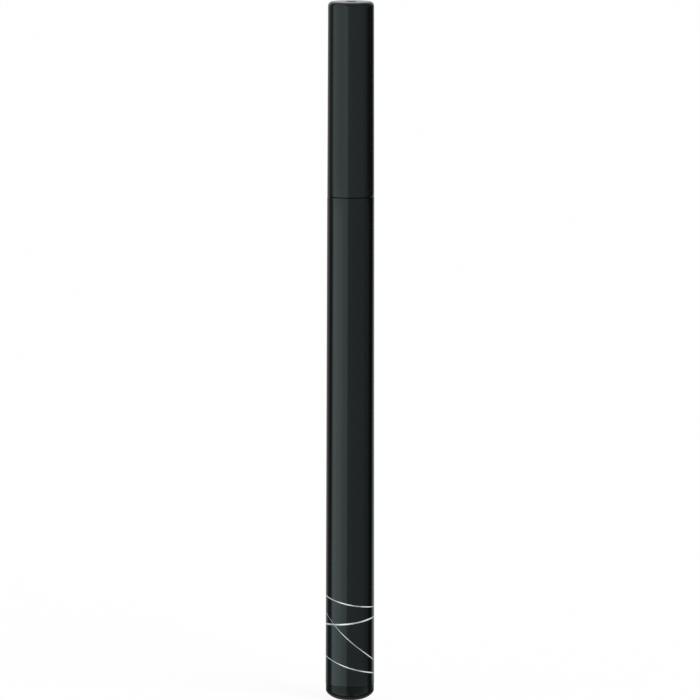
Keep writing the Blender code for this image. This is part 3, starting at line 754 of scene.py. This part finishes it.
# Cap: outline from the axis under the ceiling, down the bore, round the mouth and up the outside to the gate,
# a small stub in the recess of its end
cap = {
    "mouthRadius": 4.575,
    "topRadius": 4.48,
    "mouth": front + 0.04,
    "mouthEdge": 0.07,
    "mouthRelief": 0.09,  # the mouth is cut back a little outwards, so that its seam shows as a dark line
    "top": 137.0,
    "corner": 0.82,
    "bore": 3.85,
    "leadIn": 0.2,
    "leadInEdge": 0.05,
    "ceiling": 135.80,
    "ceilingFillet": 0.3,
    "grooveAt": front + 3.33,
    "grooveDepth": 0.1,
    "grooveHeight": 1.2,
    "recess": 1.10,
    "recessFloor": 136.30,
    "recessEdge": 0.04,
    "recessFillet": 0.1,
    "gate": 0.35,
    "gateTop": 136.50,
    "gateEdge": 0.06,
    "gateRoot": 0.05,
    "gripLift": 2.0,  # from the inner cap's mouth up to the grip ribs
    "gripSink": 0.25,  # how far the grip ribs go into the ceiling
}
corners = [(0, cap["ceiling"], 0), (cap["bore"], cap["ceiling"], cap["ceilingFillet"])]
corners += reversed(bead(cap["bore"], cap["grooveDepth"], cap["grooveHeight"], cap["grooveAt"]))
corners += [(cap["bore"], cap["mouth"] + cap["leadIn"], 0)]
corners += [(cap["bore"] + cap["leadIn"], cap["mouth"], cap["leadInEdge"])]
corners += [(cap["mouthRadius"], cap["mouth"] + cap["mouthRelief"], cap["mouthEdge"])]
corners += [(cap["topRadius"], cap["top"], cap["corner"]), (cap["recess"], cap["top"], cap["recessEdge"])]
corners += [(cap["recess"], cap["recessFloor"], cap["recessFillet"])]
corners += [(cap["gate"], cap["recessFloor"], cap["gateRoot"])]
corners += [(cap["gate"], cap["gateTop"], cap["gateEdge"]), (0, cap["gateTop"], 0)]
grips = {"Count": 8, "Inner": 3.55, "Outer": 4.05, "Width": 0.5}
grips.update({"Bottom": cup["mouth"] + cap["gripLift"], "Top": cap["ceiling"] + cap["gripSink"]})
piece = turnPiece("cap_moulding", corners, False, shellSegments, materials["cap"], grips)
carry(piece, "cap", "cap_gloss_black", "cap_shell")

# Foil lines: four plain closed lines round the rear of the barrel, each with its own lean and gentle bend
foil = {
    "segments": 240,
    "depth": 0.02,  # of which about half stands proud of the gloss
    "stagger": 0.001,  # each line lies a shade higher than the last, where two cross
}
lines = [
    {"height": 19.28, "lean": 1.14, "leanAt": -82, "bend": 0.24, "bendAt": 77, "width": 0.20, "swell": -0.05},
    {"height": 15.46, "lean": 0.81, "leanAt": 68, "bend": 0.25, "bendAt": -82, "width": 0.28, "swell": -0.08},
    {"height": 12.20, "lean": 4.98, "leanAt": -87, "bend": 0.53, "bendAt": 66, "width": 0.12, "swell": 0.45},
    {"height": 6.72, "lean": 1.79, "leanAt": -81, "bend": 0.29, "bendAt": 76, "width": 0.18, "swell": 0.25},
]
taper = (barrel["rearRadius"] - barrel["frontRadius"]) / (barrel["front"] - barrel["rear"])
surface = barrel["rearRadius"] + taper * barrel["rear"]  # the barrel's radius carried down to the table
for number, line in enumerate(lines, start=1):
    sizes = {
        "Segments": foil["segments"],
        "Height": line["height"] * mm,
        "Lean": line["lean"] * mm,
        "Lean At": math.radians(line["leanAt"]),
        "Bend": line["bend"] * mm,
        "Bend At": math.radians(line["bendAt"]),
        "Width": line["width"] * mm,
        "Swell": line["swell"],
        "Thickness": foil["depth"] * mm,
        "Radius": (surface + foil["stagger"] * number) * mm,
        "Taper": taper,
        "Material": materials["foil"],
    }
    piece = startPiece("foil_line_" + str(number))
    runTrees(piece, [(trees["stripe"], sizes)])
    carry(piece, "pen", "stripe_silver_foil")


# Camera: the photograph's frame is square, and the pen fills its height. Metres and degrees
photo = {
    "pixels": 700,
    "distance": 1.51,
    "elevation": 6.5,
    "aim": (-0.000092, 0.0, 0.06886),
    "pixelsPerMetre": 1 / 0.0001952,  # at the aim point
    "roll": 0.105,
    "sensor": 36.0,  # millimetres
    "nearest": 0.05,  # what is nearer or farther is clipped
    "farthest": 20.0,
}


# Studio, in metres: a white floor and surround, soft lamps, and curved cards that only reflections see
studio = {
    "floorSize": 6.0,
    "floorColour": "#f4f4f2",
    "floorGlow": 0.92,  # what the camera sees of the floor by itself; the lit share carries the shadow
    "surround": 0.48,  # light from all round on pen and floor
    "cardRadius": 0.10,
    "cardSpacing": 0.04,  # each card stands nearer than the last by this share of the radius
    "cardColumns": 32,
    "cardMargin": 0.001,  # lets an edge have no fade at all
    "cardBottom": -0.40,  # the gloss shows no floor, so the cards go on below it
    "cardTop": 0.34,
    "topShare": 0.5,  # of the brightness beside the cap, at the top of a card that gives none itself
    "seamBlend": 0.8 * mm,  # half of a card's step from one share to the next
    "crownBlends": 3,  # this many of them above the pen's top, the crown's share is reached
}


def seenPlainly(tree):  # 1 for camera, glossy and transmission rays
    path = addNode(tree, "ShaderNodeLightPath").outputs
    inputs = {0: path["Is Camera Ray"], 1: path["Is Glossy Ray"]}
    direct = addNode(tree, "ShaderNodeMath", inputs, operation="MAXIMUM")
    inputs = {0: direct, 1: path["Is Transmission Ray"]}
    return addNode(tree, "ShaderNodeMath", inputs, operation="MAXIMUM")


def buildFloor():
    material, tree = emptyMaterial("matt white studio floor")
    lit = addNode(tree, "ShaderNodeBsdfDiffuse", {"Color": linear(studio["floorColour"])})
    share = 1 - studio["floorGlow"]
    faint = addNode(tree, "ShaderNodeBsdfDiffuse", {"Color": (share, share, share, 1)})
    glow = addNode(tree, "ShaderNodeEmission", {"Strength": studio["floorGlow"]})
    pale = addNode(tree, "ShaderNodeAddShader", {0: faint, 1: glow})
    mix = addNode(tree, "ShaderNodeMixShader", {0: seenPlainly(tree), 1: lit, 2: pale})
    addNode(tree, "ShaderNodeOutputMaterial", {"Surface": mix})
    half = studio["floorSize"] / 2
    square = [(-half, -half, 0), (half, -half, 0), (half, half, 0), (-half, half, 0)]
    mesh = bpy.data.meshes.new("studio_floor")
    mesh.from_pydata(square, [], [(0, 1, 2, 3)])
    mesh.materials.append(material)
    floor = addObject("studio_floor", mesh)
    floor.visible_glossy = False  # the pen in the photograph shows no floor in its gloss


def reflectOnly(panel):
    for rays in ("camera", "diffuse", "transmission", "volume_scatter", "shadow"):
        setattr(panel, "visible_" + rays, False)


def mirroredHeight(height, distance):
    # the camera's line of sight slopes down to the pen's upright wall at this height, and on as steeply from
    # there. This is the height at which it meets a card at that distance
    elevation = math.radians(photo["elevation"])
    above = photo["aim"][2] + photo["distance"] * math.sin(elevation) - height
    return height - distance * above / (photo["distance"] * math.cos(elevation))


def buildCard(name, card):
    # azimuths run from the camera's side (-Y), positive to the right. An edge is one azimuth, or four: up to
    # the plug's seam, at the barrel's top, beside the cap, and at the card's top. A share makes the card
    # dimmer or brighter where one part of the pen reflects it, and can be a pair, for the card's left and
    # right. The edges fade, as a soft card's do
    material, tree = emptyMaterial(name)
    across = addNode(tree, "ShaderNodeAttribute", attribute_name="across").outputs["Fac"]
    level = addNode(tree, "ShaderNodeAttribute", attribute_name="level").outputs["Fac"]
    margin = studio["cardMargin"]
    inputs = {0: across, 1: -margin, 2: card["fade"][0], 3: 0.0, 4: 1.0}
    left = addNode(tree, "ShaderNodeMapRange", inputs, interpolation_type="SMOOTHSTEP")
    inputs = {0: across, 1: 1 - card["fade"][1], 2: 1 + margin, 3: 1.0, 4: 0.0}
    right = addNode(tree, "ShaderNodeMapRange", inputs, interpolation_type="SMOOTHSTEP")
    cover = addNode(tree, "ShaderNodeMath", {0: left, 1: right}, operation="MULTIPLY")
    inputs = {0: across, 1: 0.0, 2: 1.0, 3: card["glow"][0], 4: card["glow"][1]}
    ramp = addNode(tree, "ShaderNodeMapRange", inputs)
    strength = addNode(tree, "ShaderNodeMath", {0: ramp, 1: level}, operation="MULTIPLY")
    glow = addNode(tree, "ShaderNodeEmission", {"Color": linear(card["tint"]), "Strength": strength})
    clear = addNode(tree, "ShaderNodeBsdfTransparent")
    mix = addNode(tree, "ShaderNodeMixShader", {0: cover, 1: clear, 2: glow})
    addNode(tree, "ShaderNodeOutputMaterial", {"Surface": mix})
    radius = studio["cardRadius"] * card["nearness"]
    line, seam = [mirroredHeight(height * mm, radius) for height in (barrel["rear"], cap["mouth"])]
    crown = cap["top"] * mm
    blend = studio["seamBlend"]
    rows = [
        (studio["cardBottom"], 0, card["plugShare"]),
        (line - blend, 0, card["plugShare"]),
        (line + blend, 0, card["barrelShare"]),
        (seam - blend, 1, card["barrelShare"]),
        (seam + blend, 2, card["capShare"]),
        (crown + blend, 2, card["capShare"]),
        (crown + studio["crownBlends"] * blend, 2, card["crownShare"]),
        (studio["cardTop"], 3, card["topShare"]),
    ]
    columns = studio["cardColumns"]
    verts, shares, levels = [], [], []
    for height, part, share in rows:
        edges = (card["from"], card["to"])
        low, high = [edge[part] if isinstance(edge, tuple) else edge for edge in edges]
        shareLeft, shareRight = share if isinstance(share, tuple) else (share, share)
        for column in range(columns + 1):
            angle = math.radians(low + (high - low) * column / columns)
            verts.append((radius * math.sin(angle), -radius * math.cos(angle), height))
            shares.append(column / columns)
            levels.append(shareLeft + (shareRight - shareLeft) * column / columns)
    width = columns + 1
    starts = [row * width + column for row in range(len(rows) - 1) for column in range(columns)]
    mesh = bpy.data.meshes.new(name)
    mesh.from_pydata(verts, [], [(i, i + 1, i + 1 + width, i + width) for i in starts])
    mesh.attributes.new("across", "FLOAT", "POINT").data.foreach_set("value", shares)
    mesh.attributes.new("level", "FLOAT", "POINT").data.foreach_set("value", levels)
    mesh.materials.append(material)
    reflectOnly(addObject(name, mesh))


def buildPlate(name, plate):  # a flat glowing half disc that closes the ring of cards
    material, tree = emptyMaterial(name)
    glow = addNode(tree, "ShaderNodeEmission", {"Color": linear(plainTint), "Strength": plate["glow"]})
    addNode(tree, "ShaderNodeOutputMaterial", {"Surface": glow})
    mesh = bpy.data.meshes.new(name)
    radius, steps = studio["cardRadius"], studio["cardColumns"]
    angles = [math.radians(plate["from"] + 180 * step / steps) for step in range(steps + 1)]
    ring = [(radius * math.sin(angle), -radius * math.cos(angle), plate["height"]) for angle in angles]
    mesh.from_pydata(ring, [], [tuple(range(steps + 1))])
    mesh.materials.append(material)
    reflectOnly(addObject(name, mesh))


def buildWorld():  # full white where it is seen, dimmer where it only lights
    world = bpy.data.worlds.new("white studio surround")
    bpy.context.scene.world = world
    world.use_nodes = True
    tree = world.node_tree
    tree.nodes.clear()
    inputs = {0: seenPlainly(tree), 1: 0.0, 2: 1.0, 3: studio["surround"], 4: 1.0}
    strength = addNode(tree, "ShaderNodeMapRange", inputs)
    light = addNode(tree, "ShaderNodeBackground", {"Color": (1, 1, 1, 1), "Strength": strength})
    addNode(tree, "ShaderNodeOutputWorld", {"Surface": light})


def buildLamp(name, lamp):  # a broad soft lamp far away, so that floor and pen are lit evenly
    light = bpy.data.lights.new(name, "SUN")
    light.angle = math.radians(lamp["spread"])
    light.energy = lamp["strength"]
    item = addObject(name, light)
    item.rotation_euler = (math.radians(90 - lamp["elevation"]), 0, math.radians(lamp["azimuth"]))
    item.visible_glossy = False  # the cards stand for it in the gloss


# where two cards overlap, the one that comes later here stands nearer the pen
cards = {
    "black_tent": {
        "from": -180,
        "to": 180,
        "glow": (1.0, 1.0),
        "plugShare": 0.0,
        "barrelShare": 0.0,
        "capShare": 0.0,
        "crownShare": 0.1,
        "topShare": 0.35,
    },
    "left_flag": {"from": -180, "to": -80, "fade": (0.0, 0.1), "glow": (0.08, 0.08), "capShare": 1.5},
    "left_back": {
        "from": -180,
        "to": (-120, -110, -116, -116),
        "fade": (0.0, 0.5),
        "glow": (0.4, 0.52),
        "tint": "#ffffff",
        "plugShare": 0.5,
        "crownShare": 1.7,
        "topShare": 1.9,
    },
    "left_softbox": {
        "from": (-104.5, -101.5, -107, -120),
        "to": (-30, -30, -30, -80),
        "fade": (0.27, 0.17),
        "glow": (1.70, 1.2),
        "capShare": 0.74,
    },
    "left_reflector": {
        "from": (-42, -42, -42, -100),
        "to": (-11, -5, -6, -80),
        "fade": (0.15, 0.24),
        "glow": (1.08, 0.98),
        "plugShare": 1.25,
    },
    "front_card": {
        "from": (-16, -16, -16, -90),
        "to": 84,
        "fade": (0.05, 0.2),
        "glow": (0.45, 0.35),
        "tint": "#dff8ff",
        "plugShare": (0.55, 2.0),
        "capShare": 1.05,
    },
    "right_card": {
        "from": 60,
        "to": (106, 112, 96, 96),
        "fade": (0.4, 0.58),
        "glow": (0.25, 0.19),
        "tint": "#f4feff",
        "plugShare": (3.0, 6.0),
    },
    "right_back": {
        "from": (113, 128, 131, 131),
        "to": 180,
        "fade": (0.4, 0.0),
        "glow": (0.72, 0.55),
        "tint": "#f6ffff",
        "plugShare": 0.3,
        "capShare": 0.9,
        "crownShare": 1.22,
        "topShare": 1.6,
    },
}
plainTint = "#e4fffe"
plainCard = {"fade": (0.0, 0.0), "tint": plainTint, "plugShare": 1.0, "barrelShare": 1.0, "capShare": 1.0}
for number, (name, card) in enumerate(cards.items()):
    card = {**plainCard, **card}
    card = {"crownShare": card["capShare"], "topShare": studio["topShare"] * card["capShare"], **card}
    card["nearness"] = 1.0 - studio["cardSpacing"] * number
    buildCard(name, card)
lamps = {
    "key_lamp": {"azimuth": 45, "elevation": 40, "spread": 40, "strength": 2.0},
    "fill_lamp": {"azimuth": -60, "elevation": 45, "spread": 60, "strength": 0.3},
}
for name, lamp in lamps.items():
    buildLamp(name, lamp)
plates = {
    "table_shade_front": {"height": studio["cardBottom"], "from": -90, "glow": 0.08},
    "table_shade_back": {"height": studio["cardBottom"], "from": 90, "glow": 0.08},
    "lid_front": {"height": studio["cardTop"], "from": -90, "glow": 0.4},
    "lid_back": {"height": studio["cardTop"], "from": 90, "glow": 1.3},
}
for name, plate in plates.items():
    buildPlate(name, plate)
buildFloor()
buildWorld()
print("studio built")

focalPixels = photo["distance"] * photo["pixelsPerMetre"]
cameraData = bpy.data.cameras.new("photograph_camera")
cameraData.sensor_width = photo["sensor"]
cameraData.lens = focalPixels * photo["sensor"] / photo["pixels"]
cameraData.clip_start = photo["nearest"]
cameraData.clip_end = photo["farthest"]
camera = addObject("photograph_camera", cameraData)
elevation = math.radians(photo["elevation"])
aim = photo["aim"]
back, up = photo["distance"] * math.cos(elevation), photo["distance"] * math.sin(elevation)
camera.location = (aim[0], aim[1] - back, aim[2] + up)
level = mathutils.Euler((math.pi / 2 - elevation, 0, 0)).to_matrix()
camera.rotation_euler = (level @ mathutils.Matrix.Rotation(math.radians(photo["roll"]), 3, "Z")).to_euler()
bpy.context.scene.camera = camera
bpy.context.scene.view_settings.view_transform = "Standard"
print("camera set")
